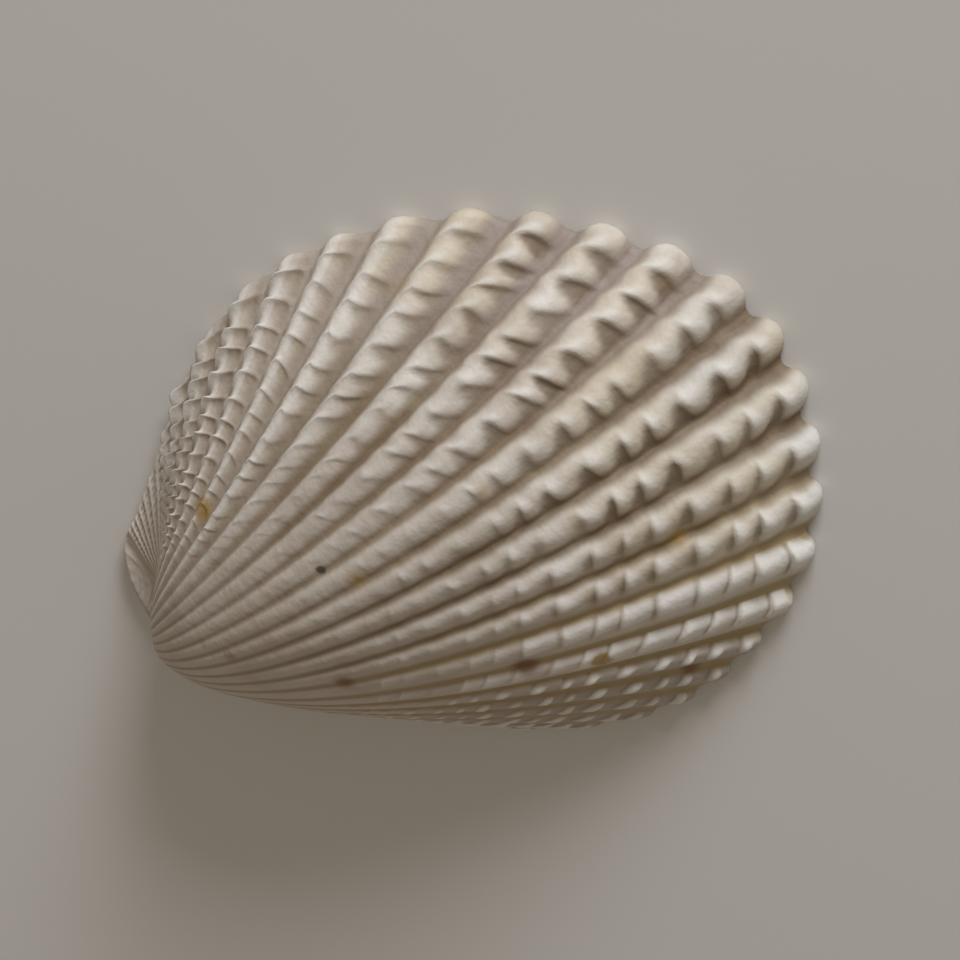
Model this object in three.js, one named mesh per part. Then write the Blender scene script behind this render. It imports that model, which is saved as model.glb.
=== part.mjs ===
// One valve of a scaly cockle, lying on its rim with the convex side up, in millimetres.
// X runs along the hinge (+X towards the rear of the shell), +Y from the beak to the lower margin,
// and +Z out of the convex side. The origin is under the middle of the shell, on the table.
//
// The shell grows by adding to its margin while the older part turns about the hinge axis and stays
// small. So every point is the margin outline, turned by an angle about X and shrunk by a spiral.

import * as THREE from 'three';

// Outline of the margin: its distance from the beak, every 15 degrees from +X through +Y.
const OUTLINE_STEP = 15;
const OUTLINE_RADII = [
  2.0, 6.2, 14.2, 31.9, 44.2, 50.6, 52.1, 45.3, 36.2, 25.9, 13.2, 8.6,
  7.3, 5.4, 3.9, 3.0, 2.5, 2.2, 2.0, 1.9, 1.9, 1.9, 1.9, 1.9,
];

// Growth spiral and wall.
const COIL = 1.333; // how fast a point shrinks per radian of turn about the hinge
const BEAK_TURN = 2.6; // radians from the margin to the tip of the beak
const RIM_HEIGHT = 0.8; // straight edge between the table and the first growth line
const LEDGE_HEIGHT = 1.3; // outer edge of the ledge behind the beak
const RIM_WIDTH = 1.9; // wall at the lower margin, across the ribs
const HOLLOW_COIL = 1.25; // the hollow keeps a little more height than the outside
const HOLLOW_POLE = new THREE.Vector3(0.5, 5.0, 0); // middle of the hinge plate's inner edge
const HOLLOW_TURNS = [0, 0.09, 0.22, 0.4, 0.62, 0.9, 1.25, 1.7, 2.2];

// Ribs, counted from the middle one: negative to the rear, positive to the front.
const RIB_MIDDLE = 91.2; // degrees
const RIB_PITCH = 5.0; // degrees from one rib to the next in the middle of the shell
const RIB_LAST = 15;
const RIB_SHOULDER = 0.24; // half width of the flat top, as a share of the pitch
const RIB_HEIGHT = 0.8; // at the margin; everything shrinks towards the beak
const CRENULATION = 0.2; // depth of the grooves on the inner margin

// Scales, counted from the margin up each rib.
const SCALE_ROWS = 17; // rows that stand out; the beak is nearly smooth
const SCALE_FIRST = 0.028; // radians of turn between the first two rows
const SCALE_GROWTH = 0.06; // each row is this much further from the last than the one before
const SCALE_HEIGHT = 0.42;
const SCALE_FOOT = 0.78; // where a scale has run out to the rib, as a share of the row
const BEAK_ROWS = [19, 21.5, 24.5, 28]; // rows left on the beak

const softplus = (x) => Math.log(1 + Math.exp(x));

// Rises smoothly from 0 at one value to 1 at the other, whichever of the two is larger.
const ramp = (from, to, x) => THREE.MathUtils.smoothstep((x - from) / (to - from), 0, 1);

// Distance of the margin from the beak at an angle in degrees: a smooth curve through the radii.
function outlineRadius(angle) {
  const count = OUTLINE_RADII.length;
  const place = ((angle % 360) + 360) % 360 / OUTLINE_STEP;
  const i = Math.floor(place);
  const t = place - i;
  const [a, b, c, d] = [-1, 0, 1, 2].map((k) => Math.log(OUTLINE_RADII[(i + k + count) % count]));
  const slopeB = (c - a) / 2;
  const slopeC = (d - b) / 2;
  const curve = b + slopeB * t + (3 * (c - b) - 2 * slopeB - slopeC) * t * t
    + (2 * (b - c) + slopeB + slopeC) * t * t * t;
  return Math.exp(curve);
}

function outlinePoint(angle) {
  const radius = outlineRadius(angle);
  const radians = THREE.MathUtils.degToRad(angle);
  return new THREE.Vector3(radius * Math.cos(radians), radius * Math.sin(radians), 0);
}

// Which rib lies at an angle. Ribs are even in the middle and closer together at both ends.
function ribNumber(angle) {
  return (angle - RIB_MIDDLE) / RIB_PITCH
    - 0.41 * softplus((60 - angle) / 4)
    + 0.15 * softplus((angle - 138) / 4);
}

function ribAngle(number) {
  let low = 0;
  let high = 180;
  for (let step = 0; step < 40; step += 1) {
    const middle = (low + high) / 2;
    if (ribNumber(middle) < number) low = middle;
    else high = middle;
  }
  return (low + high) / 2;
}

// Turn from the margin at which a row of scales lies.
const rowTurn = (row) => (Math.exp(SCALE_GROWTH * row) - 1) * SCALE_FIRST / SCALE_GROWTH;

// The smooth outside, before ribs.
function growthPoint(outline, turn, coil) {
  const size = Math.exp(-coil * turn);
  return new THREE.Vector3(
    size * outline.x,
    size * outline.y * Math.cos(turn),
    size * outline.y * Math.sin(turn),
  );
}

function outwardNormal(angle, turn) {
  const step = 0.01;
  const along = growthPoint(outlinePoint(angle + step), turn, COIL)
    .sub(growthPoint(outlinePoint(angle - step), turn, COIL));
  const up = growthPoint(outlinePoint(angle), turn + step, COIL)
    .sub(growthPoint(outlinePoint(angle), turn - step, COIL));
  return along.cross(up).normalize();
}

// Columns of the outside: three for each rib, and a few smooth ones beside the hinge.
// lift is +1 on top of a rib and -1 in a groove.
function outsideColumns() {
  const columns = [0, 8, 16, 23].map((angle) => ({ angle, lift: 0 }));
  for (let rib = -RIB_LAST; rib <= RIB_LAST; rib += 1) {
    columns.push({ angle: ribAngle(rib - 0.5), lift: -1 });
    columns.push({ angle: ribAngle(rib - RIB_SHOULDER), lift: 1 });
    columns.push({ angle: ribAngle(rib + RIB_SHOULDER), lift: 1 });
  }
  columns.push({ angle: ribAngle(RIB_LAST + 0.5), lift: -1 });
  columns.push({ angle: 172, lift: 0 }, { angle: 180, lift: 0 });
  for (const column of columns) {
    column.fade = ramp(24, 36, column.angle) * ramp(172, 160, column.angle);
  }
  return columns;
}

// Rows of the outside: two for each row of scales, its edge and its foot, then the beak.
// scale is 1 on the edge of a scale and 0 at its foot.
function outsideRows() {
  const rows = [];
  for (let row = 0; row < SCALE_ROWS; row += 1) {
    const fade = ramp(SCALE_ROWS + 3, SCALE_ROWS - 6, row);
    rows.push({ turn: rowTurn(row), scale: fade });
    rows.push({ turn: rowTurn(row + SCALE_FOOT), scale: 0 });
  }
  for (const row of BEAK_ROWS) rows.push({ turn: rowTurn(row), scale: 0 });
  rows.push({ turn: BEAK_TURN, scale: 0 });
  return rows;
}

function outsidePoint(column, row) {
  const point = growthPoint(outlinePoint(column.angle), row.turn, COIL);
  const size = Math.exp(-COIL * row.turn);
  const rib = 0.5 * RIB_HEIGHT * column.lift;
  const scale = row.scale * SCALE_HEIGHT * (column.lift > 0 ? 1 : 0.3);
  if (column.fade > 0) {
    const height = (rib + scale) * size * column.fade;
    point.addScaledVector(outwardNormal(column.angle, row.turn), height);
  }
  point.z += RIM_HEIGHT;
  return point;
}

// A mesh under construction: points, and triangles that name them by number.
const points = [];
const triangles = [];

function add(point) {
  points.push(point);
  return points.length - 1;
}

function quad(a, b, c, d) {
  triangles.push([a, b, c], [a, c, d]);
}

// Joins every edge of a closed loop to a middle point, so no point of the loop is skipped.
function fan(loop, middle) {
  loop.forEach((corner, i) => triangles.push([corner, loop[(i + 1) % loop.length], middle]));
}

function skin(grid, outward) {
  for (let i = 0; i + 1 < grid.length; i += 1) {
    for (let j = 0; j + 1 < grid[i].length; j += 1) {
      const [a, b, c, d] = [grid[i][j], grid[i + 1][j], grid[i + 1][j + 1], grid[i][j + 1]];
      if (outward) quad(a, b, c, d);
      else quad(a, d, c, b);
    }
  }
}

function tip(grid, pole, outward) {
  for (let i = 0; i + 1 < grid.length; i += 1) {
    const [a, b] = [grid[i].at(-1), grid[i + 1].at(-1)];
    triangles.push(outward ? [a, b, pole] : [b, a, pole]);
  }
}

// Outside, from the margin up over the back and round to the beak.
const columns = outsideColumns();
const rows = outsideRows();
const outside = columns.map((column) => rows.map((row) => add(outsidePoint(column, row))));
const beak = add(new THREE.Vector3(0, 0, RIM_HEIGHT));
skin(outside, true);
tip(outside, beak, true);

// Hinge ledge behind the beak, hollowed a little towards the hinge axis.
const hingeAngles = [];
for (let angle = 195; angle < 360; angle += OUTLINE_STEP) hingeAngles.push(angle);
const ledge = hingeAngles.map((angle) => {
  const point = outlinePoint(angle);
  point.z = LEDGE_HEIGHT;
  return add(point);
});
const front = outside.at(-1);
const rear = outside[0];
const ledgeMiddle = add(new THREE.Vector3(-0.4, -1.2, RIM_HEIGHT));
fan([front[0], ...ledge, ...rear, beak, ...front.slice(1).reverse()], ledgeMiddle);

// Straight edge from the first growth line down to the table.
const edgeTop = [...outside.map((column) => column[0]), ...ledge];
const edgeFoot = edgeTop.map((top) => add(new THREE.Vector3(points[top].x, points[top].y, 0)));
edgeTop.forEach((top, i) => {
  const next = (i + 1) % edgeTop.length;
  quad(edgeFoot[i], edgeFoot[next], edgeTop[next], top);
});

// Hollow: the same growth about a pole on the hinge plate, one wall inside the margin.
const inFront = (foot) => points[foot].y > HOLLOW_POLE.y + 0.3;
const marginFeet = edgeFoot.slice(0, columns.length);
const firstFoot = marginFeet.findIndex(inFront) - 1;
const lastFoot = marginFeet.findLastIndex(inFront) + 1;
const hollow = [];
for (let i = firstFoot; i <= lastFoot; i += 1) {
  const reach = points[marginFeet[i]].clone().sub(HOLLOW_POLE);
  if (i === firstFoot || i === lastFoot) reach.y = 0;
  const wall = RIM_WIDTH - 0.25 * RIB_HEIGHT * (1 - columns[i].lift);
  reach.setLength(reach.length() - wall);
  hollow.push(HOLLOW_TURNS.map((turn) => {
    const groove = CRENULATION * columns[i].lift * columns[i].fade * ramp(0.4, 0, turn);
    const outline = i === firstFoot || i === lastFoot
      ? reach
      : reach.clone().setLength(reach.length() + groove);
    return add(growthPoint(outline, turn, HOLLOW_COIL).add(HOLLOW_POLE));
  }));
}
const hollowEnd = add(HOLLOW_POLE.clone());
skin(hollow, false);
tip(hollow, hollowEnd, false);

// Flat rim on the table, and the hinge plate between the hollow and the beak.
for (let i = firstFoot; i < lastFoot; i += 1) {
  const k = i - firstFoot;
  quad(marginFeet[i], hollow[k][0], hollow[k + 1][0], marginFeet[i + 1]);
}
const plateEdge = [
  ...marginFeet.slice(lastFoot),
  ...edgeFoot.slice(columns.length),
  ...marginFeet.slice(0, firstFoot + 1),
  ...hollow[0],
  hollowEnd,
  ...hollow.at(-1).slice().reverse(),
];
const plateMiddle = add(new THREE.Vector3(0, 1.8, 0));
fan(plateEdge.reverse(), plateMiddle);

// One closed solid, moved so that the origin is under its middle.
const geometry = new THREE.BufferGeometry();
geometry.setAttribute('position', new THREE.Float32BufferAttribute(points.flatMap((p) => p.toArray()), 3));
geometry.setIndex(triangles.flat());
geometry.computeBoundingBox();
const { min, max } = geometry.boundingBox;
geometry.translate(-(min.x + max.x) / 2, -(min.y + max.y) / 2, -min.z);
geometry.computeVertexNormals();

const chalk = new THREE.MeshStandardMaterial({ name: 'shell', color: 0xd8d0c4, roughness: 0.7 });
const valve = new THREE.Mesh(geometry, chalk);
valve.name = 'valve';

const part = new THREE.Group();
part.name = 'cockle_shell';
part.add(valve);

export default part;
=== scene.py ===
# %% [markdown]
# # A scaly cockle shell
# One loose half of a cockle lies on its rim with the convex side up. A shell isn't put together from
# parts: the animal adds chalk to the margin all its life, so the whole surface follows from one outline,
# one spiral and a pattern of ribs and scales. The lesson builds it the same way, as one closed skin.

import math

import bmesh
import bpy
import numpy as np
from mathutils import Matrix, Vector


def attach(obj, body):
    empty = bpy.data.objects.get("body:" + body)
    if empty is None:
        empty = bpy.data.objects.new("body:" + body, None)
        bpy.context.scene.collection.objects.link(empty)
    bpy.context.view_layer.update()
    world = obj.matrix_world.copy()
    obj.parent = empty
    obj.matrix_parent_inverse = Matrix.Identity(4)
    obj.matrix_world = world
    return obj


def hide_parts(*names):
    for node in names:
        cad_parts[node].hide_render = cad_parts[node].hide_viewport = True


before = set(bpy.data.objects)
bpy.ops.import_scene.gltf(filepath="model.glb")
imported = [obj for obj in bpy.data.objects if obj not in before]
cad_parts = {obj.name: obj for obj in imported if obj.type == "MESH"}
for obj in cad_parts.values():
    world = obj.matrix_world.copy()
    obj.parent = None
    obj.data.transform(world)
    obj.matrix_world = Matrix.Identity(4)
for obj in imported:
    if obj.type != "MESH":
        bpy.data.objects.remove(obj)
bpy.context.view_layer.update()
MM = 0.001  # all sizes below are in millimetres, and the mesh is in metres

# %% [markdown]
# ## The growth surface
# The margin is a closed outline about the beak. As the shell grows, the older part turns about the
# hinge axis and keeps its small size. A point of the surface is a margin point turned by some angle and
# shrunk by a spiral of that angle. A sculpted blob could look similar, but only this law makes the ribs
# and the growth lines run as they do on a real shell, from the margin into the tip of the beak.

# %% Margin outline
OUTLINE_STEP = 15.0  # degrees
OUTLINE_RADII = np.array([
    2.0, 6.2, 14.2, 31.9, 44.2, 50.6, 52.1, 45.3, 36.2, 25.9, 13.2, 8.8,
    7.2, 5.2, 3.8, 2.9, 2.49, 2.2, 2.0, 1.9, 1.9, 1.9, 1.9, 1.9,
])  # mm from the beak, one for each step from +X through +Y


def margin_radius(angle):
    """Distance of the margin from the beak: e to a smooth closed cubic through the logs of the radii."""
    logs = np.log(OUTLINE_RADII)
    place = np.mod(angle, 360.0) / OUTLINE_STEP
    left = np.floor(place).astype(int)
    t = place - left
    a, b, c, d = (logs[(left + k) % len(logs)] for k in (-1, 0, 1, 2))
    slope_b = (c - a) / 2
    slope_c = (d - b) / 2
    bend = (3 * (c - b) - 2 * slope_b - slope_c) * t**2 + (2 * (b - c) + slope_b + slope_c) * t**3
    return np.exp(b + slope_b * t + bend)


def margin_point(angle):
    """Radius times the cosine and sine of the angle, in the plane of the rim."""
    radius = margin_radius(angle)
    turn = np.radians(angle)
    return np.stack([radius * np.cos(turn), radius * np.sin(turn), np.zeros_like(radius)], -1)


print("margin", margin_radius(np.array([0.0, 90.0, 180.0])).round(2), "mm from the beak")

# %% Spiral
COIL = 1.333  # shrinking per radian of turn about the hinge
BEAK_TURN = 2.6  # radians from the margin to the tip of the beak
RIM_HEIGHT = 0.8  # height of the first growth line above the table
PLACE = np.array([2.352, 25.350, 0.0])  # middle of the shell as seen from the beak


def grown(outline, turn, coil=COIL):
    """Outline turned about X by the turn, times exp(-coil * turn)."""
    size = np.exp(-coil * turn)
    x, y = outline[..., 0], outline[..., 1]
    return np.stack([size * x, size * y * np.cos(turn), size * y * np.sin(turn)], -1)


def outward(angle, turn, step=0.01):
    """Unit normal of the smooth surface: its slope along the margin crossed with its slope up the shell."""
    along = grown(margin_point(angle + step), turn) - grown(margin_point(angle - step), turn)
    up = grown(margin_point(angle), turn + step) - grown(margin_point(angle), turn - step)
    normal = np.cross(along, up)
    return normal / np.maximum(np.linalg.norm(normal, axis=-1, keepdims=True), 1e-12)


quarter = np.array([0.0, 0.25, 0.5, 1.0])
print("height up the middle", grown(margin_point(np.full(4, 90.0)), quarter)[:, 2].round(2), "mm")

# %% [markdown]
# ## Ribs and rows of scales
# Thirty-four ribs fan out from the beak, evenly in the middle and closer together at both ends. Each rib
# carries scales, which are halted growth lines: they lie close together at the margin and further apart
# towards the beak. Both laws are smooth functions, so a place on the shell has a rib number and a row
# number, and all of the relief is written in those two numbers. Single scales could be set on the shell
# one by one instead, but they would look stuck on, because a real scale grows out of its rib.

# %% Soft steps
def ramp(start, end, x):
    """0 before start, 1 after end, and 3t^2 - 2t^3 between."""
    t = np.clip((x - start) / (end - start), 0.0, 1.0)
    return t * t * (3 - 2 * t)


def softplus(x):
    """log(1 + e^x), a bend from level to slanting."""
    return np.logaddexp(0.0, x)


print("half way up a ramp", ramp(0.0, 1.0, 0.5))

# %% Rib numbers
RIB_MIDDLE = 91.2  # degrees
RIB_PITCH = 5.0
REAR_CROWDING = 0.41  # ribs more for each BEND_WIDTH behind REAR_BEND
REAR_BEND = 60  # degrees
FRONT_CROWDING = 0.15
FRONT_BEND = 138
BEND_WIDTH = 4
REAR_RIB = -15
FRONT_RIB = 18


def rib_number(angle):
    """Even numbering in the middle, with a bend at each end where the ribs crowd."""
    even = (angle - RIB_MIDDLE) / RIB_PITCH
    rear = REAR_CROWDING * softplus((REAR_BEND - angle) / BEND_WIDTH)
    front = FRONT_CROWDING * softplus((angle - FRONT_BEND) / BEND_WIDTH)
    return even - rear + front


ANGLES = np.linspace(0.0, 180.0, 7201)
NUMBERS = rib_number(ANGLES)


def rib_angle(number):
    """The angle at which a rib number lies, read back from the numbering."""
    return np.interp(number, NUMBERS, ANGLES)


FANNED = rib_angle(np.array([REAR_RIB - 0.5, FRONT_RIB + 0.5]))
print("ribs lie between", FANNED.round(1), "degrees")

# %% Row numbers
SCALE_FIRST = 0.032  # radians between the first two rows
SCALE_GROWTH = 0.045  # each gap is about this share wider than the one before


def row_turn(row):
    """Sum of the growing gaps from the margin up to a row."""
    return (np.exp(SCALE_GROWTH * row) - 1) * SCALE_FIRST / SCALE_GROWTH


ROW_BEAK = math.log(1 + BEAK_TURN * SCALE_GROWTH / SCALE_FIRST) / SCALE_GROWTH
print("rows run from 0 to", round(ROW_BEAK, 1))

# %% Grid of the outside
ACROSS_RIB = np.array([-0.5, -0.45, -0.38, -0.29, -0.19, -0.08, 0.03, 0.14, 0.25, 0.34, 0.41, 0.46])
ROW_STEPS = np.array([0.0, 0.05, 0.12, 0.25, 0.42, 0.62, 0.82, 0.92])
SCALE_ROWS = 16  # rows that are fine enough in the mesh for a scale
PLAIN_ROWS = 56  # mesh rows from there to the beak
FIRST_ROW = 0.42  # the margin cuts the first scale in the middle
REAR_COLUMNS = 8  # plain columns between the hinge and the ribs, at the rear
FRONT_COLUMNS = 3

rear_angles = np.linspace(0.0, FANNED[0], REAR_COLUMNS + 1)[:-1]
front_angles = np.linspace(FANNED[1], 180.0, FRONT_COLUMNS + 1)[1:]
rib_lines = (np.arange(REAR_RIB, FRONT_RIB + 1)[:, None] + ACROSS_RIB).ravel()
rib_lines = np.append(rib_lines, FRONT_RIB + 0.5)
column_angle = np.concatenate([rear_angles, rib_angle(rib_lines), front_angles])
column_rib = rib_number(column_angle)
scale_rows = (np.arange(SCALE_ROWS)[:, None] + ROW_STEPS).ravel()
plain_rows = np.linspace(SCALE_ROWS, ROW_BEAK + FIRST_ROW, PLAIN_ROWS)
mesh_row = np.concatenate([scale_rows[scale_rows >= FIRST_ROW], plain_rows])
print("outside grid", len(column_angle), "by", len(mesh_row))

# %% [markdown]
# ## Kinds of rib
# The ribs of one shell aren't alike. In the middle they are round, with a lobe to each scale and a dark
# triangular notch behind it. At the front they are thin ridges with arcs between them and thorns on top.
# At the rear they carry white bricks, then small beads, and at last they are almost smooth. One table
# gives a few ribs, and the ribs between them are read off in straight lines, which keeps the
# change gradual. A formula for each group would leave visible borders between the groups.

# %% Table of ribs
RIB_COLUMNS = (
    "rib",  # its number, from the rear of the shell to its front
    "deep",  # depth of the grooves beside it, mm
    "notch",  # depth of the notch behind a scale, mm
    "crest",  # side of its crest, in ribs from its middle
    "half",  # its half width, as a share of the way to the groove
    "fall",  # how fast it falls off: 0.5 is round, 2 is a ridge
    "place",  # middle of the notch, in ribs from its middle
    "width",  # half width of the notch, in ribs
    "slant",  # how far the notch slants, in rows
    "gap",  # how slowly the next scale rises out of it, in rows
    "start",  # height at which that scale starts, as a share
    "edge",  # height of the edge in which a scale ends, mm
)
RIB_KINDS = np.array([
    [-16, 0.20, 0.06, 0.20, 1.00, 1.00, 0.10, 0.30, 0.00, 0.30, 0.6, 0.06],
    [-10, 0.26, 0.10, 0.20, 0.80, 1.00, 0.20, 0.20, 0.00, 0.30, 0.4, 0.20],
    [-7, 0.46, 0.26, 0.24, 0.80, 1.00, 0.26, 0.22, 0.00, 0.26, 0.9, 0.40],
    [-6, 0.60, 0.38, 0.25, 0.85, 1.00, 0.25, 0.28, 0.00, 0.24, 0.55, 0.16],
    [-4, 0.88, 0.26, 0.18, 0.92, 1.10, 0.05, 0.30, 0.30, 0.32, 0.65, 0.16],
    [-1, 1.20, 0.32, 0.06, 0.94, 1.25, -0.19, 0.27, 0.55, 0.48, 0.8, 0.20],
    [2, 1.12, 0.32, 0.06, 0.95, 1.25, -0.20, 0.27, 0.60, 0.48, 0.8, 0.20],
    [4, 0.82, 0.26, 0.16, 0.98, 2.20, -0.10, 0.26, 0.45, 0.44, 0.8, 0.18],
    [6, 0.62, 0.22, 0.18, 1.00, 3.60, -0.08, 0.26, 0.30, 0.44, 0.7, 0.24],
    [8, 0.50, 0.16, 0.16, 1.00, 3.80, -0.10, 0.30, 0.30, 0.50, 0.7, 0.72],
    [10, 0.34, 0.06, 0.12, 1.00, 3.00, -0.20, 0.32, 0.20, 0.50, 0.7, 0.70],
    [12, 0.18, 0.00, 0.12, 1.00, 1.40, -0.20, 0.32, 0.20, 0.50, 0.7, 0.10],
    [19, 0.14, 0.00, 0.12, 1.00, 1.20, -0.20, 0.32, 0.30, 0.50, 0.6, 0.04],
])


def kind(rib, name):
    """One column of the table, read in a straight line between its rows."""
    return np.interp(np.round(rib), RIB_KINDS[:, 0], RIB_KINDS[:, RIB_COLUMNS.index(name)])


def from_crest(rib):
    """0 on the crest of a rib and 1 in the groove on either side of it."""
    crest = kind(rib, "crest")
    f = rib - np.round(rib)
    return np.abs(f - crest) / np.where(f > crest, 0.5 - crest, 0.5 + crest)


print("deepest groove", RIB_KINDS[:, 1].max(), "mm, highest edge", RIB_KINDS[:, -1].max(), "mm")

# %% [markdown]
# ## Uneven growth
# No two scales of a real shell are the same. The rows of one rib don't meet those of the next, the gaps
# swing wider and narrower, and some scales are more worn than others. A noise could bend the rows, but
# it bends neighbouring ribs alike. A table drawn from a fixed seed gives every rib and scale its own
# luck, the same on each run.

# %% Luck of each rib and scale
RIB_NUMBERS = np.arange(REAR_RIB - 2, FRONT_RIB + 3)
CHANCE_ROWS = 42  # more rows than any rib has
SPACING = {-17: 1.05, -4: 1.05, 0: 1.0, 3: 1.05, 5: 1.3, 8: 1.3, 19: 1.1}  # rib: its gaps next to rib 0's

rng = np.random.default_rng(7)
row_shift = rng.uniform(-0.3, 0.3, len(RIB_NUMBERS))
uneven = rng.uniform(-1.0, 1.0, (len(RIB_NUMBERS), CHANCE_ROWS))
spacing = np.interp(RIB_NUMBERS, list(SPACING), list(SPACING.values()))


def chance(rib, row):
    """Value from -1 to 1 for each scale of each rib."""
    i = np.clip(np.round(rib) - RIB_NUMBERS[0], 0, len(RIB_NUMBERS) - 1).astype(int)
    j = np.clip(row, 0, CHANCE_ROWS - 1).astype(int)
    return uneven[i, j]


print("row shifts of the middle ribs", row_shift[15:20].round(2))

# %% Where the rows lie
SWING = 0.15  # rows by which the gaps swing
SWING_RATE = 1.7  # radians of the swing for each row
SWING_SPREAD = 9  # sets the swing of one rib apart from that of the next
SPACING_REACH = 16.0  # rows over which a rib keeps its own spacing
ARCH = 0.9  # rows by which an arc of the front bends back at its ends, near the margin
ARCH_LOST = 0.45  # rows of it that are gone further up
SCALLOP = 0.25  # rows that the margin draws back in each groove


def row_place(rib, row):
    """The mesh row, plus the rib's own shift, swing, arc and stretch, plus the scallop in its grooves."""
    row = row - FIRST_ROW
    fade = ramp(0.0, 2.0, row) * ramp(ROW_BEAK, 18.0, row)
    shift = np.interp(rib, RIB_NUMBERS, row_shift)
    shift = shift + SWING * np.sin(SWING_RATE * row + SWING_SPREAD * shift)
    stretch = np.interp(rib, RIB_NUMBERS, spacing) - 1
    groove = (0.5 - 0.5 * np.cos(2 * np.pi * rib)) ** 2 * ramp(3.0, 0.0, row)
    arch = (ARCH - ARCH_LOST * ramp(4.0, 14.0, row)) * ramp(2.5, 5.0, rib) * ramp(13.0, 9.0, rib)
    arch = arch * from_crest(rib)
    kept = np.exp(-((row / SPACING_REACH) ** 2))
    return row + fade * (shift + arch) + stretch * row * kept + SCALLOP * groove


print("rib 0 has its second scale at row", row_place(np.array(0.0), np.array(2.42)).round(2))

# %% [markdown]
# ## Relief
# Seen along a rib, a scale swells slowly towards the beak, ends in an edge, and drops into a notch. The
# next scale rises out of the notch past a border that slants from the crest to the groove. The relief is
# that one section, in rows, times bell curves across the rib. A bump map alone would be flat in the
# outline, and light from the side would give it away.

# %% Wear
DROP = 0.12  # rows over which the edge of a scale drops into the notch behind it
LUCK = 0.3  # part of a scale that is left to chance


def at_front(rib):
    """0 up to the third rib, and 1 from the sixth, where the relief is all of the front's kind."""
    return ramp(3.0, 6.0, rib)


def wear(rib, row, own):
    """What is left of a scale: 1 near the margin, 0 at the beak, and less in the corner by the hinge."""
    corner = ramp(8.0, 12.0, rib)
    front = ramp(21.0 - 8.0 * corner, 9.0 - 5.0 * corner, row)
    middle = 0.5 * ramp(23.0, 10.0, row) + 0.5 * ramp(14.0, 5.0, row)
    share = at_front(rib)
    return (share * front + (1 - share) * middle) * (1 + LUCK * chance(rib, own))


left_of_scales = wear(np.zeros(3), np.array([2.0, 10.0, 20.0]), np.zeros(3))
print("left of rib 0's scales at rows 2, 10 and 20", left_of_scales.round(2))

# %% Scale, edge and rib
EDGE_WIDTH = 0.22  # ribs
MARGIN_CHANGE = 0.15  # at the margin, ribs are this much narrower and deeper
GROOVE_LOST = 0.6  # part of the depth of the grooves that is gone at the beak


def scale_form(k, u, p, behind):
    """1 on a scale. It drops behind its edge, and the next rises past a border that slants with u."""
    low = k["slant"] * u * behind
    rise = ramp(low, low + k["gap"], p) * (k["start"] + (1 - k["start"]) * p * p)
    return np.maximum(np.where(p < DROP, 1 - ramp(0.0, DROP, p), 0.0), rise)


def scale_edge(k, rib, f, u, p, worn):
    """Swells to the end of the scale and runs out behind it, in a bell curve about the crest."""
    front = at_front(rib)
    bead = ramp(-6.0, -7.0, rib)
    swell = ramp(0.3 + 0.58 * front + 0.3 * bead, 1.0 - 0.18 * bead, p)
    run_out = np.clip(1 - p / (0.25 + 0.2 * front), 0.0, 1.0) ** 1.5
    across = np.exp(-(((f - k["crest"]) / EDGE_WIDTH) ** 2)) + 0.4 * front * u
    return np.where(p > 0.4, swell, run_out) * across * ramp(0.52, 0.4, np.abs(f)) * worn


def rib_profile(k, rib, row, u):
    """From -1 in the groove to 1 on the crest, as 2 (1 - (u / half)^2)^fall - 1, and the groove's depth."""
    at_margin = ramp(4.0, 0.0, row) * ramp(7.0, 4.0, np.abs(rib + 1))
    half = k["half"] * (1 - MARGIN_CHANGE * at_margin)
    deep = k["deep"] * (1 + MARGIN_CHANGE * at_margin) * (1 - GROOVE_LOST * ramp(7.0, 21.0, row))
    return 2 * np.clip(1 - (u / half) ** 2, 0.0, 1.0) ** k["fall"] - 1, deep


middle_rib = {name: kind(np.array(0.0), name) for name in RIB_COLUMNS[1:]}
print("a scale of rib 0 in quarters of a row",
      scale_form(middle_rib, 0.5, np.array([0.0, 0.25, 0.5, 0.75]), True).round(2))

# %% Relief in millimetres
CREST_HEIGHT = 0.52  # crests above the smooth surface; the grooves go below it
CREST_SIDES = 0.4  # part of that height that the ribs at both ends lack
CREST_BEAK = 0.3  # part of it that is gone towards the beak
NOTCH_FILLED = 0.6  # part of a notch that is gone high up on the middle ribs
BRICK_WIDTH = 0.27  # ribs
SWAY = 0.05  # ribs by which a middle rib sways with its scales


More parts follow.
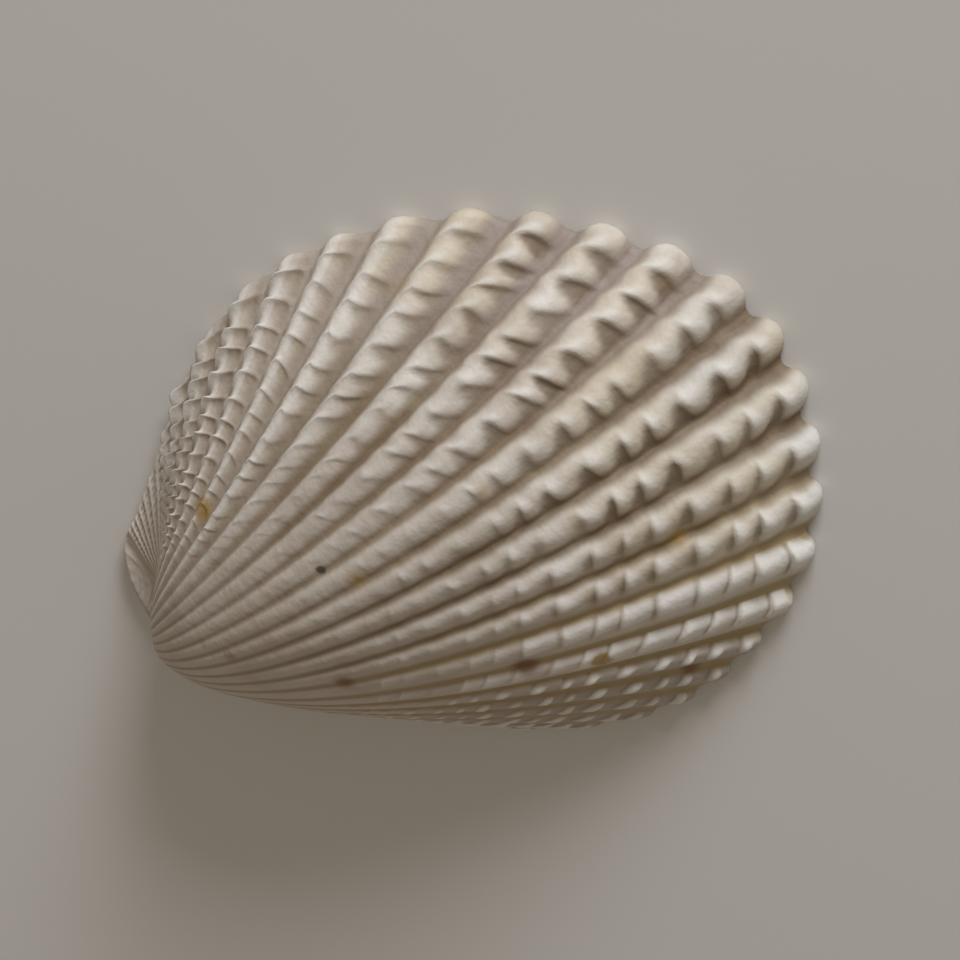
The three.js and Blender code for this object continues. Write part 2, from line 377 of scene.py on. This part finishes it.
def relief(rib, row):
    """Crest, less the groove, plus the edge, less the notch, in mm at the margin's size, and the shares."""
    k = {name: kind(rib, name) for name in RIB_COLUMNS[1:]}
    f = rib - np.round(rib)
    u = from_crest(rib)
    p = np.mod(row, 1.0)
    worn = wear(rib, row, np.where(p < DROP, np.floor(row), np.floor(row) + 1))
    form = scale_form(k, u, p, f < k["crest"])
    hollow = (1 - form) * np.exp(-(((f - k["place"]) / k["width"]) ** 4)) * worn * ramp(0.2, 1.0, row)
    hollow = hollow * (1 - NOTCH_FILLED * (1 - at_front(rib)) * ramp(5.0, 11.0, row))
    edge = scale_edge(k, rib, f, u, p, worn)
    lift, deep = rib_profile(k, rib, row, u)
    crest = CREST_HEIGHT * (1 - CREST_SIDES * ramp(4.0, 8.0, np.abs(rib)))
    crest = crest * (1 - CREST_BEAK * ramp(10.0, 25.0, row))
    height = crest - 0.5 * deep * (1 - lift) + k["edge"] * edge - k["notch"] * hollow
    bricks = ramp(-3.0, -5.0, rib) * ramp(-7.0, -6.2, rib)
    brick = form * np.exp(-(((f - k["crest"]) / BRICK_WIDTH) ** 4)) * worn * bricks
    swaying = ramp(5.0, 3.0, np.abs(rib + 0.5)) * (row < SCALE_ROWS)
    sway = SWAY * np.sin(2 * np.pi * p) * (1 - u * u) * worn * swaying
    fade = ramp(-16.4, -14.0, rib) * ramp(19.6, 17.5, rib)
    shares = {"lift": lift, "scale": np.maximum(edge, brick), "pit": hollow, "sway": sway}
    return height * fade, {name: value * fade for name, value in shares.items()}


print("edge of the first scale of rib 0", relief(np.array(0.0), np.array(1.0))[0].round(2), "mm high")

# %% [markdown]
# ## The outside
# The outside of the real shell is what the margin laid down, one stage after another. Here it is one
# grid: a column for each line from the margin to the beak, and a row for each stage. The relief rises
# along the normal of the smooth surface and shrinks with the spiral, since a young shell has small
# scales. A Displace modifier could raise it too, but it needs a much denser mesh for the same edges
# than a grid whose lines run along the ribs and rows.

# %% Leaning ribs
REAR_LAG = 0.2  # ribs, at the margin
REAR_LAG_ABOVE = 0.3  # ribs more, higher up
FRONT_LEAD = 0.28  # ribs


def drift(rib, turn):
    """How far ribs lie behind their even places: up to half a rib at the rear, and ahead at the front."""
    rear = ramp(-4.0, -6.5, rib) * ramp(-15.5, -12.0, rib)
    rear = rear * (REAR_LAG + REAR_LAG_ABOVE * ramp(0.0, 0.45, turn))
    return rear - FRONT_LEAD * ramp(3.0, 6.0, rib) * ramp(18.5, 15.0, rib)


print("ribs -8, 0 and 10 lie behind by", drift(np.array([-8.0, 0.0, 10.0]), 0.5).round(2), "ribs")

# %% Outside surface
def outside_points(angle, row):
    """Smooth surface point plus the relief times the local size along the normal, raised to the rim."""
    rib = rib_number(angle)
    place = np.minimum(row_place(rib, row), ROW_BEAK)
    turn = row_turn(place)
    height, shares = relief(rib, row)
    lean = drift(rib, turn) - shares.pop("sway")
    angle = np.where(lean != 0, rib_angle(rib - lean), angle)
    size = np.exp(-COIL * turn)
    points = grown(margin_point(angle), turn) + outward(angle, turn) * (height * size)[..., None]
    points[..., 2] += RIM_HEIGHT
    return points, {"rib": rib, "row": place, "turn": turn, **shares}


grid_angle, grid_row = np.meshgrid(column_angle, mesh_row, indexing="ij")
outside, outside_values = outside_points(grid_angle, grid_row)
print("outside reaches", outside.reshape(-1, 3).min(0).round(2), outside.reshape(-1, 3).max(0).round(2))

# %% Beak and hinge axis
pole = np.broadcast_to(np.array([0.0, 0.0, RIM_HEIGHT]), (len(column_angle), 1, 3))
on_axis = (column_angle == 0.0) | (column_angle == 180.0)
outside[on_axis, :, 1] = 0.0
outside[on_axis, :, 2] = RIM_HEIGHT
outside = np.concatenate([outside, pole], 1)
outside_values = {name: np.concatenate([v, v[:, -1:]], 1) for name, v in outside_values.items()}
print(on_axis.sum(), "columns lie on the hinge axis, and all of them end in the tip of the beak")

# %% [markdown]
# ## Stains
# Iron in wet sand has left ochre and brown spots on the shell, and a dark grain of grit sits in one
# groove. A noise would scatter such spots anywhere. Only a few are seen, each at its own rib and height,
# so each is set as a soft round spot, whose strength the material reads later.

# %% Stains
STAINS = {
    # rib, turn in radians, radius in mm, strength
    "ochre": (
        (6.3, 0.60, 1.0, 1.5), (-6.2, 0.22, 0.6, 4.0), (-0.1, 0.33, 0.9, 0.8), (0.8, 0.03, 1.0, 0.5),
        (-0.3, 0.57, 0.8, 0.9), (-3.4, 0.15, 0.9, 1.1), (4.5, 0.10, 1.4, 0.5), (-1.9, 0.26, 1.3, 0.5),
    ),
    "brown": (
        (-5.7, 0.34, 1.0, 1.5), (-4.4, 0.70, 0.8, 1.2), (-1.0, 0.99, 0.6, 0.8), (-7.6, 0.06, 0.8, 1.2),
    ),
    "grit": ((0.6, 0.61, 0.28, 3.0),),
}


def stained(spots):
    """Sum over the spots of strength times e^-(distance / radius)^2, measured from each spot's place."""
    total = np.zeros(outside.shape[:2])
    for rib, turn, radius, strength in spots:
        centre = grown(margin_point(rib_angle(np.array(rib))), turn) + (0, 0, RIM_HEIGHT)
        distance = np.linalg.norm(outside - centre, axis=-1)
        total += strength * np.exp(-((distance / radius) ** 2))
    return total


outside_values.update({name: stained(spots) for name, spots in STAINS.items()})
print("strongest stains", {name: outside_values[name].max().round(2) for name in STAINS})

# %% [markdown]
# ## Collecting the patches
# The skin is made of a few grids that meet along shared edges. Each grid is added with the values that
# its material reads later, such as its rib and row, since a pattern that follows the ribs can't be read
# from plain coordinates. At the end points in the same place are merged, which closes all the seams.

# %% Patches
VALUES = ("rib", "row", "lift", "scale", "pit", "turn", "inside", "ochre", "brown", "grit")
skin_points = []
skin_faces = []
skin_values = {name: [] for name in VALUES}


def add_patch(points, values, flip=False):
    """Numbers a grid of points and joins each square of four; flip turns the faces round."""
    start = sum(len(p) for p in skin_points)
    columns, rows = points.shape[:2]
    number = start + np.arange(columns * rows).reshape(columns, rows)
    corners = [number[:-1, :-1], number[1:, :-1], number[1:, 1:], number[:-1, 1:]]
    if flip:
        corners.reverse()
    skin_points.append(points.reshape(-1, 3))
    skin_faces.append(np.stack(corners, -1).reshape(-1, 4))
    for name in VALUES:
        value = np.broadcast_to(values.get(name, 0.0), (columns, rows))
        skin_values[name].append(value.ravel().astype(np.float32))
    print("patch of", len(skin_faces[-1]), "faces")


add_patch(outside, outside_values)

# %% [markdown]
# ## Ledge behind the beak
# On the real shell a narrow ledge behind the beak holds the ligament that springs the two halves open.
# It could be a lofted strip with a profile of its own. It spans from the hinge axis to the back edge, so
# a ruled grid between those two lines needs no fitting: it shares the points of both. It is pressed in a
# little in the middle, with low ribs that run out from the beak.

# %% Back edge
LEDGE_HEIGHT = 1.3
LEDGE_BEND = 0.3  # below 1, the back edge rises soon after the hinge axis
LEDGE_CROWDING = 1.3  # above 1, its points crowd at the two ends of the axis
LEDGE_STEPS = 9

front_axis = outside[-1]
rear_axis = outside[0]
axis_line = np.concatenate([front_axis, rear_axis[-2::-1]], 0)
front_share = np.linspace(0.0, 1.0, len(mesh_row) + 1) ** LEDGE_CROWDING
ledge_angle = np.concatenate([180 + 90 * front_share, 270 + 90 * (1 - front_share[-2::-1])])
ledge_outline = margin_point(ledge_angle)
ledge_outline[[0, -1], 1] = 0.0
rise = np.sin(np.radians(ledge_angle - 180)) ** LEDGE_BEND
rise[[0, -1]] = 0.0
ledge_outline[:, 2] = RIM_HEIGHT + (LEDGE_HEIGHT - RIM_HEIGHT) * rise
print("back edge of", len(ledge_angle), "points, for", len(axis_line), "on the axis")

# %% Ledge
LEDGE_DIP = 0.35
LEDGE_RIB = 0.25  # height of its ribs at LEDGE_REACH from the beak
LEDGE_REACH = 9.0
LEDGE_RIB_PERIOD = 7.0  # degrees
LEDGE_LIFT = 0.6  # how far its crests take the colour of a rib's crest
HINGE_RIB = 20.0  # past the last rib, which gives the hinge the colours of the shell's end
LEDGE_TURN = 0.6  # takes the colours of the middle of the shell

across = np.linspace(0.0, 1.0, LEDGE_STEPS)[None, :, None]
ledge = ledge_outline[:, None] * (1 - across) + axis_line[:, None] * across
inside_ledge = 4 * across[..., 0] * (1 - across[..., 0])
around_beak = np.degrees(np.arctan2(ledge[..., 1], ledge[..., 0]))
ledge_ribs = 0.5 + 0.5 * np.cos(2 * np.pi * around_beak / LEDGE_RIB_PERIOD)
ledge_relief = LEDGE_RIB * ledge_ribs * np.linalg.norm(ledge, axis=-1) / LEDGE_REACH
ledge[..., 2] += inside_ledge * (ledge_relief - LEDGE_DIP * rise[:, None])
add_patch(ledge, {"rib": HINGE_RIB, "turn": LEDGE_TURN, "lift": LEDGE_LIFT * ledge_ribs})

# %% [markdown]
# ## Edge
# The margin is a blunt edge that stands on the table. A Bevel modifier could round it, but it would
# round the scales too. So the edge is a strip of its own: it runs straight down from the first growth
# line and turns inward by a quarter circle at the foot.

# %% Edge
EDGE_ROUND = 0.3
EDGE_SHARE = np.array([0.0, 0.25, 0.6, 1.0])  # heights of its points, from the foot to the top

edge_angle = np.concatenate([column_angle, ledge_angle[1:]])
edge_top = np.concatenate([outside[:, 0], ledge_outline[1:]], 0)
edge_lift = np.concatenate([outside_values["lift"][:, 0], np.zeros(len(ledge_angle) - 1)])
edge_rib = np.concatenate([column_rib, np.full(len(ledge_angle) - 1, HINGE_RIB)])
inward = -np.stack([np.cos(np.radians(edge_angle)), np.sin(np.radians(edge_angle)), 0 * edge_angle], -1)
quarter_circle = EDGE_ROUND * (1 - np.sqrt(1 - (1 - EDGE_SHARE) ** 2))
edge = edge_top[:, None] * np.array([1.0, 1.0, 0.0])[None, None]
edge = edge + inward[:, None] * quarter_circle[None, :, None]
edge[..., 2] = edge_top[:, None, 2] * EDGE_SHARE[None]
add_patch(edge, {"rib": edge_rib[:, None], "lift": edge_lift[:, None]})

# %% [markdown]
# ## Hollow and rim
# The inside of the shell is smooth. Only near the margin low folds follow the ribs, and they lock into
# those of the other half. A Solidify modifier would give the wall, but its offset crosses itself in the
# narrow beak. So the hollow is a spiral of its own, which starts from the outline less the rim and winds
# to a pole in front of the hinge plate. The wall comes out thick at the beak and thin at the margin, as
# on the real shell, and the flat rim is the strip between foot and hollow.

# %% Outline of the hollow
RIM_WIDTH = 1.9
RIM_WAVE = 0.225  # how far the rim's inner line follows the grooves of the margin
HOLLOW_POLE = np.array([0.5, 5.0, 0.0])
POLE_CLEARANCE = 0.3  # the hollow uses the part of the foot that is this far in front of its pole

foot = edge[: len(column_angle), 0]
in_front = np.flatnonzero(foot[:, 1] > HOLLOW_POLE[1] + POLE_CLEARANCE)
hollow_columns = np.arange(in_front[0] - 1, in_front[-1] + 2)
hollow_rib = column_rib[hollow_columns][:, None]
hollow_lift = outside_values["lift"][hollow_columns, 0]
reach = foot[hollow_columns] - HOLLOW_POLE
reach[[0, -1], 1] = 0.0
reach[:, 2] = 0.0
length = np.linalg.norm(reach, axis=-1) - (RIM_WIDTH - RIM_WAVE * (1 - hollow_lift) - EDGE_ROUND)
reach *= (length / np.linalg.norm(reach, axis=-1))[:, None]
print("hollow of", len(hollow_columns), "columns, up to", length.max().round(1), "mm from its pole")

# %% Hollow
HOLLOW_COIL = 1.25
HOLLOW_TURN = 2.2
FOLD_TURN = 0.4  # the folds run this far up from the margin
FOLD_HEIGHT = 0.2

fold_turns = np.linspace(0, FOLD_TURN, 14)[:-1]
hollow_turn = np.concatenate([fold_turns, np.linspace(FOLD_TURN, HOLLOW_TURN, 20)])
fold = FOLD_HEIGHT * hollow_lift[:, None] * ramp(FOLD_TURN, 0.0, hollow_turn)[None]
fold[[0, -1]] = 0.0
folded = reach[:, None] * (1 + fold / length[:, None])[..., None]
hollow = grown(folded, hollow_turn[None], HOLLOW_COIL) + HOLLOW_POLE
hollow_tip = np.broadcast_to(HOLLOW_POLE, (len(hollow_columns), 1, 3))
hollow = np.concatenate([hollow, hollow_tip], 1)
print("hollow reaches", hollow[..., 2].max().round(2), "mm above the table")

# %% Values of the hollow, and the rim
LINES_INSIDE = 12  # faint growth lines of the hollow: rows for each radian
RIM_STEPS = 4

stages = np.append(hollow_turn, HOLLOW_TURN)[None]
hollow_values = {
    "rib": hollow_rib,
    "turn": stages,
    "row": stages * LINES_INSIDE,
    "lift": hollow_lift[:, None],
    "inside": 1.0,
}
add_patch(hollow, hollow_values, flip=True)
rim_share = np.linspace(0.0, 1.0, RIM_STEPS)[None, :, None]
rim = foot[hollow_columns][:, None] * (1 - rim_share) + hollow[:, :1] * rim_share
add_patch(rim, {"rib": hollow_rib, "inside": 1.0}, flip=True)

# %% [markdown]
# ## Teeth of the hinge
# Under the beak the hinge plate has small teeth that lock into pits of the other half. They could be cut
# and added by Boolean modifiers, which leave ragged triangles. The plate is in the plane of the table, so
# a tooth can be a cone that stands in its own ring-shaped pit, and each of the four is a small round
# grid. The flat plate is filled in round them.

# %% Pits and teeth
TEETH = (
    # x, y, length, width, turn in degrees, depth, height of the tooth in the pit
    (-0.9, 1.7, 1.0, 0.7, 20, 0.7, 0.65),
    (1.1, 1.5, 0.9, 0.6, -15, 0.8, 0.0),
    (-6.2, 2.9, 2.3, 0.8, -35, 0.7, 0.6),
    (6.6, 3.3, 2.6, 0.8, 25, 0.8, 0.0),
)
PIT_SIDES = 32
PIT_RINGS = 8


def add_pit(x, y, length, width, tilt, depth, tooth):
    """Oval grid from its rim to its middle: a rounded pit, less a cone in the middle for a tooth."""
    around = np.linspace(0, 2 * np.pi, PIT_SIDES + 1)[:, None]
    out = np.linspace(1.0, 0.0, PIT_RINGS)[None]
    a = length * out * np.cos(around)
    b = width * out * np.sin(around)
    cosine = math.cos(math.radians(tilt))
    sine = math.sin(math.radians(tilt))
    deep = depth * ramp(1.0, 0.55, out) - tooth * ramp(0.6, 0.1, out) + 0 * around
    points = np.stack([x + a * cosine - b * sine, y + a * sine + b * cosine, deep], -1)
    add_patch(points, {"rib": HINGE_RIB, "inside": 1.0, "turn": 1.0}, flip=True)


for tooth in TEETH:
    add_pit(*tooth)

# %% [markdown]
# ## Closing the skin
# The real shell is solid chalk, so its mesh has to be one closed skin without a gap. The patches could
# be joined as objects, but then their seams would stay open. Merging equal points closes the seams, and
# one fill over the edges that are still open makes the flat hinge plate round the pits.

# %% Close the skin
MERGE = 1e-6  # metres


def closed_skin(name):
    """One mesh of all patches: equal points merged, and the flat plate filled across the open edges."""
    points = (np.concatenate(skin_points) - PLACE) * MM
    mesh = bpy.data.meshes.new(name)
    mesh.from_pydata(points.tolist(), [], np.concatenate(skin_faces).tolist())
    for value in VALUES:
        layer = mesh.attributes.new(value, "FLOAT", "POINT")
        layer.data.foreach_set("value", np.concatenate(skin_values[value]))
    work = bmesh.new()
    work.from_mesh(mesh)
    bmesh.ops.remove_doubles(work, verts=work.verts, dist=MERGE)
    open_edges = [e for e in work.edges if e.is_boundary]
    filled = bmesh.ops.triangle_fill(work, edges=open_edges, use_beauty=True, normal=(0, 0, -1))
    plate = [f for f in filled["geom"] if isinstance(f, bmesh.types.BMFace)]
    for face in plate:
        if face.normal.z > 0:
            face.normal_flip()
    left_open = sum(not e.is_manifold for e in work.edges)
    print("open edges", len(open_edges), "filled by", len(plate), "still open", left_open)
    work.to_mesh(mesh)
    work.free()
    mesh.shade_smooth()
    return mesh


valve_mesh = closed_skin("valve_shell")
valve = bpy.data.objects.new("valve_shell", valve_mesh)
bpy.context.scene.collection.objects.link(valve)
valve_mesh.calc_loop_triangles()
print("valve", len(valve_mesh.loop_triangles), "triangles")

# %% [markdown]
# ## Chalky shell
# Cockle shell is aragonite, a form of chalk that the animal lays down in crossed layers, and sea and sand
# have worn its surface. So it is dull and pale, cream to grey, with white worn scales and with brown stain
# held in the grooves and notches. Inside it is nearly white, like unglazed porcelain. One colour with a
# noise would look like plaster. Here the colours follow the relief: wear whitens what stands out and dirt
# stays in what lies deep. On top of that, the grooves and notches carry painted shade and the front
# crests carry a painted highlight.

# %% Colour and node helpers
def linear(code, alpha=1.0):
    """sRGB hex to linear: c/12.92 below 0.04045, else ((c + 0.055)/1.055)^2.4."""
    parts = [int(code[i:i + 2], 16) / 255 for i in (1, 3, 5)]
    return (*[p / 12.92 if p <= 0.04045 else ((p + 0.055) / 1.055) ** 2.4 for p in parts], alpha)


def add(tree, kind, inputs=None, **settings):
    """Adds a node. inputs maps a socket to a value or to the output of another node."""
    new = tree.nodes.new(kind)
    for name, value in settings.items():
        setattr(new, name, value)
    for socket, value in (inputs or {}).items():
        if isinstance(value, bpy.types.NodeSocket):
            tree.links.new(value, new.inputs[socket])
        else:
            new.inputs[socket].default_value = value
    return new


print("cream in linear light", [round(part, 3) for part in linear("#E6DED2")[:3]])

# %% Shell material
# Weathered aragonite, grown in crossed layers: no gloss, only a weak wide sheen. The IOR of aragonite is
# 1.53 to 1.69. A worn shell's roughness is 0.5 to 0.8, and its pores take off part of the mirror light.
shell = bpy.data.materials.new("aragonite_shell")
shell.use_nodes = True
tree = shell.node_tree
surface = tree.nodes["Principled BSDF"]
surface.inputs["Roughness"].default_value = 0.6
surface.inputs["IOR"].default_value = 1.6
surface.inputs["Specular IOR Level"].default_value = 0.35
print("material", shell.name, "with IOR", round(surface.inputs["IOR"].default_value, 2))

# %% Patterns
# A noise of scale s has spots of about 1000 / s mm. Along the growth lines it is read in ribs and rows,
# five to a row of 1.7 mm at the margin. Real growth lines lie about 0.1 mm apart and chalk grains are
# finer than 0.05 mm, so both are drawn coarser, as coarse as they need to be to show.
place = add(tree, "ShaderNodeTexCoord").outputs["Object"]
patterns = {name: add(tree, "ShaderNodeAttribute", attribute_name=name).outputs["Fac"] for name in VALUES}
grown_place = add(tree, "ShaderNodeCombineXYZ", {"X": patterns["rib"], "Y": patterns["row"]}).outputs[0]
growth_place = add(tree, "ShaderNodeMapping", {"Vector": grown_place, "Scale": (1.3, 5.0, 1.0)}).outputs[0]
NOISES = {
    # name: where it is read, scale, detail
    "mottle": (place, 160.0, 4.0),  # 6 mm patches of worn and fresh chalk
    "broad": (place, 55.0, 2.0),  # 18 mm patches that yellow the crests
    "lumps": (place, 480.0, 3.0),  # 2 mm lumps
    "grain": (place, 2600.0, 3.0),  # 0.4 mm grain
    "growth": (growth_place, 1.0, 2.0),  # growth lines 0.3 mm apart at the margin
}
for name, (where, scale, detail) in NOISES.items():
    inputs = {"Vector": where, "Scale": scale, "Detail": detail}
    patterns[name] = add(tree, "ShaderNodeTexNoise", inputs).outputs["Fac"]
print("patterns", ", ".join(patterns))

# %% [markdown]
# ## Colours of ribs, sides and grooves
# On the shell one colour passes into the next without a border: from crest to groove, from rib to rib
# and from the margin to the beak. Masks could be painted by hand, but here each colour is a layer that
# covers the one below by an amount, times smooth steps of the patterns that say where it lies.

# %% Layers, and the crests
def painted(colour, layers):
    """Each layer covers the colour by its amount times the smooth steps (pattern, 0 at, 1 at) it names."""
    for over, amount, *steps in layers:
        cover = amount
        for name, start, end in steps:
            inputs = {"Value": patterns[name], "From Min": start, "From Max": end, "To Max": cover}
            cover = add(tree, "ShaderNodeMapRange", inputs, interpolation_type="SMOOTHSTEP").outputs[0]
        colour = add(tree, "ShaderNodeMix", {0: cover, 6: colour, 7: over}, data_type="RGBA").outputs[2]
    return colour


top = painted(linear("#C8BBAB"), [
    (linear("#E6DED2"), 1.0, ("mottle", 0.35, 0.65)),
    (linear("#DEDCD7"), 0.7, ("rib", 0.5, -1.5), ("turn", 0.25, 0.05)),  # white near the margin, rear half
    (linear("#CDBA95"), 0.6, ("broad", 0.48, 0.66), ("turn", 0.4, 0.0)),  # straw patches near the margin
    (linear("#B9AC9E"), 0.7, ("turn", 0.15, 0.5)),  # greyer towards the beak
    (linear("#CABDB1"), 0.7, ("rib", 4.0, 8.0)),
    (linear("#CABDB1"), 0.7, ("rib", -4.0, -8.0)),
    (linear("#A89C90"), 0.7, ("rib", -6.4, -7.2), ("turn", 0.6, 0.3)),  # grey round the beads at the rear
])
print("crests of", len(tree.nodes), "nodes so far")

# %% Grooves and notches
# Grooves: darker brown than the crests, partly the shell's own brown and partly painted shade for the deep
# grooves.
groove = painted(linear("#7C674E"), [
    (linear("#94826A"), 1.0, ("mottle", 0.35, 0.65)),
    (linear("#A3948A"), 0.8, ("rib", -1.0, 1.5), ("turn", 0.3, 0.05)),  # grey near the margin, front half
    (linear("#AE9A75"), 1.0, ("rib", -2.5, -5.0)),  # olive at the rear
    (linear("#B3A595"), 1.0, ("rib", 3.0, 7.0)),
    (linear("#C2B6A9"), 1.0, ("rib", 10.0, 13.0)),
    (linear("#B5A48E"), 1.0, ("rib", -7.5, -11.0)),
    (linear("#A8998A"), 0.85, ("turn", 0.4, 1.0)),  # paler towards the beak
])
# Notches behind the scales: partly brown stain, partly painted shade standing for the shadow in each notch.
pit = painted(linear("#705B43"), [
    (linear("#A6967F"), 1.0, ("rib", 2.5, 5.5)),
    (linear("#8C795C"), 1.0, ("rib", -1.5, -4.0)),
])
print("grooves and notches of", len(tree.nodes), "nodes so far")

# %% Whole colour
colour = painted(groove, [
    # Crest colour over groove colour by height: the lower the relief the darker, as painted shade and stain
    # together.
    (top, 1.0, ("lift", -1.0, 0.5)),
    # Notch colour by the notch's depth: painted shade in the notches, with some stain.
    (pit, 0.75, ("pit", 0.1, 1.0)),
    (linear("#EDE7DE"), 0.7, ("lift", 0.3, 0.9), ("rib", 3.0, 6.0)),  # worn ridges at the front, partly a painted highlight along the lit crests
    (linear("#ECE8E1"), 0.55, ("scale", 0.2, 0.9)),  # worn edges of the scales
    (linear("#EDE9E1"), 0.55, ("scale", 0.2, 0.8), ("rib", -3.0, -5.0)),  # white bricks at the rear
    (linear("#A8842F"), 0.8, ("ochre", 0.1, 1.2)),
    (linear("#764A1E"), 0.75, ("brown", 0.1, 1.2)),
    (linear("#3B332D"), 0.85, ("grit", 0.1, 1.2)),
    (linear("#E6DFD2"), 1.0, ("inside", 0.0, 1.0)),
])
tree.links.new(colour, surface.inputs["Base Color"])
print("shell material of", len(tree.nodes), "nodes")

# %% [markdown]
# ## Growth lines, lumps and chalk grain
# Between the scales the real surface is lumpy, crossed by growth lines finer than a hair, and grainy like
# chalk. Relief this low never shows in the outline, so a bump is enough, and the mesh stays light. Three
# bumps are chained, from the broadest to the finest.

# %% Bumps
BUMPS = {"lumps": (0.4, 0.0006), "growth": (0.08, 0.0002), "grain": (0.2, 0.00015)}  # strength, metres
normal = {}
for name, (strength, distance) in BUMPS.items():
    inputs = {"Height": patterns[name], "Strength": strength, "Distance": distance, **normal}
    normal = {"Normal": add(tree, "ShaderNodeBump", inputs).outputs["Normal"]}
tree.links.new(normal["Normal"], surface.inputs["Normal"])
valve_mesh.materials.append(shell)
print("bumps", ", ".join(BUMPS))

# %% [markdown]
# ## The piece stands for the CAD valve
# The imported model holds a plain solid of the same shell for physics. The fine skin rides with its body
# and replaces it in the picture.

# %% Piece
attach(valve, "root")
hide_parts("valve")
print("piece", valve.name)

# %% [markdown]
# ## Camera
# The camera looks steeply down on the side of the lower margin. It is rolled, so the beak lies at the
# left, and the shell's up direction points down and to the left in the picture. Angles could be typed
# in, but three directions fitted to the silhouette of the shell say the same and are easier to check.
# The lens is long and far away, so there is almost no perspective.

# %% Camera
RIGHT = Vector((0.582, 0.7754, -0.2448))  # of the picture, on the shell's axes
UP = Vector((-0.7734, 0.4349, -0.4613))
TOWARDS = Vector((-0.2512, 0.4578, 0.8528))  # from the shell to the camera
PICTURE_WIDTH = 69.1 * MM
MIDDLE_RIGHT = 21.48 * MM  # from the beak to the middle of the picture
MIDDLE_UP = 9.79 * MM
DISTANCE = 0.9  # from the lens to where the picture has its width
SHELL_NEARER = 8 * MM  # that place lies nearer than the beak
SENSOR = 36.0

beak = Vector(-PLACE * MM) + Vector((0, 0, RIM_HEIGHT * MM))
target = beak + RIGHT * MIDDLE_RIGHT + UP * MIDDLE_UP
camera_data = bpy.data.cameras.new("camera")
camera = bpy.data.objects.new("camera", camera_data)
bpy.context.scene.collection.objects.link(camera)
camera_data.sensor_width = SENSOR
camera_data.lens = SENSOR * DISTANCE / PICTURE_WIDTH
camera_data.clip_start = 0.01
turned = Matrix((RIGHT, UP, TOWARDS)).transposed().to_4x4()
camera.matrix_world = Matrix.Translation(target + TOWARDS * (DISTANCE + SHELL_NEARER)) @ turned
bpy.context.scene.camera = camera
print("lens", round(camera_data.lens), "mm")

# %% [markdown]
# ## Floor
# The shell lies on matt paper, pressed from wood fibre: pale and even, without gloss, so it takes a soft
# shadow and sends some warm light up under the margin. A curved backdrop would do the same in this view,
# but a flat sheet is enough when the camera looks down.

# %% Floor
# Uncoated paper: its roughness is 0.9 or more, and its IOR is near the default of 1.5.
FLOOR = 0.6  # half its side, in metres

table = bpy.data.materials.new("matt_paper")
table.use_nodes = True
paper = table.node_tree.nodes["Principled BSDF"]
paper.inputs["Base Color"].default_value = linear("#DEDBD5")
paper.inputs["Roughness"].default_value = 0.9
floor_corners = [(-FLOOR, -FLOOR, 0), (FLOOR, -FLOOR, 0), (FLOOR, FLOOR, 0), (-FLOOR, FLOOR, 0)]
floor_mesh = bpy.data.meshes.new("floor")
floor_mesh.from_pydata(floor_corners, [], [(0, 1, 2, 3)])
floor_mesh.materials.append(table)
floor = bpy.data.objects.new("floor", floor_mesh)
bpy.context.scene.collection.objects.link(floor)
print("floor", 2 * FLOOR, "m wide")

# %% [markdown]
# ## Light
# Relief shows best in light that grazes it. One soft lamp, like a small window, stands low beyond the
# top of the picture, and a weak warm light comes from the room all round. A lamp beside the camera
# would light every groove and flatten the scales, and a sun would cut hard shadows.

# %% Light
WINDOW_SIDE = Vector((-0.58, 0.75, 0.32)).normalized()  # from the shell to the lamp
WINDOW_DISTANCE = 0.7
WINDOW_SIZE = 0.25
WINDOW_POWER = 3.9  # watts
ROOM_STRENGTH = 0.26

window = bpy.data.lights.new("window", "AREA")
window.size = WINDOW_SIZE
window.energy = WINDOW_POWER
window.color = linear("#EDF2FA")[:3]
lamp = bpy.data.objects.new("window", window)
bpy.context.scene.collection.objects.link(lamp)
aimed = WINDOW_SIDE.to_track_quat("Z", "Y").to_matrix().to_4x4()
lamp.matrix_world = Matrix.Translation(WINDOW_SIDE * WINDOW_DISTANCE) @ aimed
world = bpy.data.worlds.new("room")
bpy.context.scene.world = world
world.use_nodes = True
world.node_tree.nodes["Background"].inputs["Color"].default_value = linear("#FFF1E0")
world.node_tree.nodes["Background"].inputs["Strength"].default_value = ROOM_STRENGTH
bpy.context.scene.view_settings.view_transform = "Standard"
print("lamp of", WINDOW_POWER, "W at", WINDOW_DISTANCE, "m")
